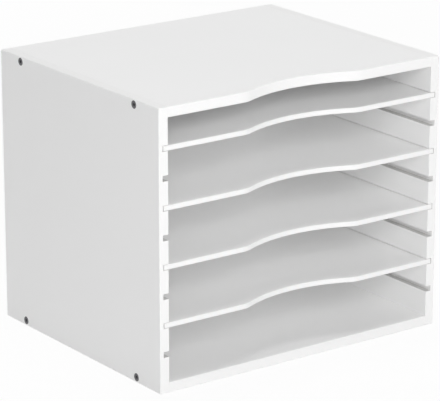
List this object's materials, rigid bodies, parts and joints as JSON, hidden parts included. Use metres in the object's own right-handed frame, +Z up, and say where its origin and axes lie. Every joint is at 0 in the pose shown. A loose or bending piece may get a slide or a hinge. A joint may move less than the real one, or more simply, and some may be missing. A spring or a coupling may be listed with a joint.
{
  "type": "desk letter sorter",
  "caption": "Desktop letter sorter: a white box open at front and back, whose slotted sides hold loose full-width shelves that slide out forwards, each with a shallow finger recess.",
  "frame": {"origin": "middle of the underside, on the surface that the sorter stands on", "axes": "+X across the front to the user's right, -Y out of the open front, +Z up"},
  "size_m": [0.33, 0.27, 0.275],
  "materials": {
    "lacquered_board": "white satin lacquer on fibreboard, 10 mm",
    "lacquered_shelf_board": "white satin lacquer on fibreboard, 5 mm",
    "blackened_steel": "dark grey satin steel",
    "beech": "bare fluted beech"
  },
  "bodies": {
    "carcass": {"left_side_panel": "lacquered_board", "right_side_panel": "lacquered_board", "top_panel": "lacquered_board", "bottom_panel": "lacquered_board", "left_top_front_screw": "blackened_steel", "left_top_back_screw": "blackened_steel", "left_bottom_front_screw": "blackened_steel", "left_bottom_back_screw": "blackened_steel", "right_top_front_screw": "blackened_steel", "right_top_back_screw": "blackened_steel", "right_bottom_front_screw": "blackened_steel", "right_bottom_back_screw": "blackened_steel", "left_top_dowel": "beech", "left_bottom_dowel": "beech", "right_top_dowel": "beech", "right_bottom_dowel": "beech"},
    "shelf_1": {"shelf_1": "lacquered_shelf_board"},
    "shelf_2": {"shelf_2": "lacquered_shelf_board"},
    "shelf_3": {"shelf_3": "lacquered_shelf_board"},
    "shelf_4": {"shelf_4": "lacquered_shelf_board"}
  },
  "joints": [
    {"name": "shelf_1_slide", "type": "slide", "parent": "carcass", "child": "shelf_1", "axis": [0, -1, 0], "range_m": [0, 0.25]},
    {"name": "shelf_2_slide", "type": "slide", "parent": "carcass", "child": "shelf_2", "axis": [0, -1, 0], "range_m": [0, 0.25]},
    {"name": "shelf_3_slide", "type": "slide", "parent": "carcass", "child": "shelf_3", "axis": [0, -1, 0], "range_m": [0, 0.25]},
    {"name": "shelf_4_slide", "type": "slide", "parent": "carcass", "child": "shelf_4", "axis": [0, -1, 0], "range_m": [0, 0.25]}
  ]
}
